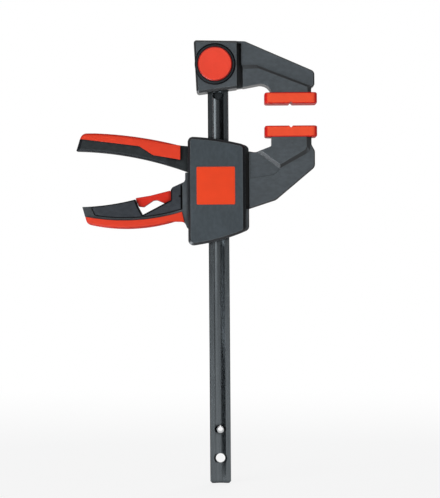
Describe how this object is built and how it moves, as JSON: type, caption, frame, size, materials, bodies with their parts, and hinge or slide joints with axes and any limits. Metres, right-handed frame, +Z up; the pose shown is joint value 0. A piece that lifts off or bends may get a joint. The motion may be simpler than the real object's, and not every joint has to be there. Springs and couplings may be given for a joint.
{
  "type": "quick release bar clamp",
  "caption": "One-handed bar clamp with soft-padded jaws, a squeeze lever that advances the sliding jaw, a release trigger and a push button that frees the fixed jaw.",
  "frame": {"origin": "centre of the hanging hole at the foot of the bar, on the bar's middle plane", "axes": "+Z up along the bar to the fixed jaw, +X towards the jaws' pads, +Y to the rear; the badge and the button face -Y"},
  "size_m": [0.1857, 0.0312, 0.3415],
  "materials": {
    "bar_steel": "satin, blued grey, lengthwise grain",
    "pin_steel": "satin zinc",
    "plate_steel": "hardened, blackened",
    "spring_steel": "bright drawn wire",
    "dark_moulding": "fine-grained glass-filled nylon",
    "black_moulding": "fine-grained, darker",
    "red_plastic": "semi-gloss",
    "red_soft": "soft-touch elastomer, matte"
  },
  "bodies": {
    "bar": {"rail": "bar_steel", "stop_pin": "pin_steel", "hole_plug": "black_moulding", "fixed_jaw": "dark_moulding", "fixed_jaw_pad": "red_soft", "button_collar": "black_moulding", "head_rear_cap": "dark_moulding", "button_spring": "spring_steel"},
    "button": {"lock_button": "red_plastic", "lock_yoke": "pin_steel", "lock_pin": "pin_steel"},
    "carriage": {"carriage_frame": "dark_moulding", "moving_jaw_pad": "red_soft", "front_cover": "dark_moulding", "rear_cover": "dark_moulding", "badge_plate": "red_plastic", "cover_screws": "pin_steel", "lever_pivot_pin": "pin_steel", "trigger_pin": "pin_steel", "grip_soft_strip": "red_soft", "grip_front_panel": "black_moulding", "grip_rear_panel": "black_moulding", "drive_spring": "spring_steel", "brake_spring": "spring_steel"},
    "lever": {"drive_lever": "black_moulding", "lever_soft_grip": "red_soft"},
    "plates": {"drive_plates": "plate_steel"},
    "brake": {"brake_plate": "plate_steel"},
    "trigger": {"release_trigger": "red_plastic"}
  },
  "joints": [
    {"name": "carriage_slide", "type": "slide", "parent": "bar", "child": "carriage", "axis": [0, 0, 1], "range_m": [-0.142, 0.0168]},
    {"name": "lever_swing", "type": "hinge", "parent": "carriage", "child": "lever", "pos_m": [0.012, 0, 0.2283], "axis": [0, -1, 0], "range_deg": [0, 16], "stiffness_Nm_per_rad": 1.5, "springref_deg": -9.74},
    {"name": "plates_slide", "type": "slide", "parent": "carriage", "child": "plates", "axis": [0, 0, -1], "range_m": [0, 0.00697], "deforming": ["drive_spring"]},
    {"name": "trigger_pull", "type": "hinge", "parent": "carriage", "child": "trigger", "pos_m": [-0.0299, 0, 0.2027], "axis": [0, -1, 0], "range_deg": [0, 9], "stiffness_Nm_per_rad": 0.5, "springref_deg": -5.73},
    {"name": "brake_tilt", "type": "hinge", "parent": "carriage", "child": "brake", "pos_m": [0.0155, 0, 0.19445], "axis": [0, -1, 0], "range_deg": [0, 1.5], "deforming": ["brake_spring"]},
    {"name": "button_press", "type": "slide", "parent": "bar", "child": "button", "axis": [0, 1, 0], "range_m": [0, 0.004], "stiffness_N_per_m": 1500, "springref_m": -0.003, "deforming": ["button_spring"]}
  ],
  "couplings": [
    {"joint": "plates_slide", "follows": "lever_swing", "m_per_rad": 0.024919},
    {"joint": "brake_tilt", "follows": "trigger_pull", "ratio": 0.16667}
  ]
}
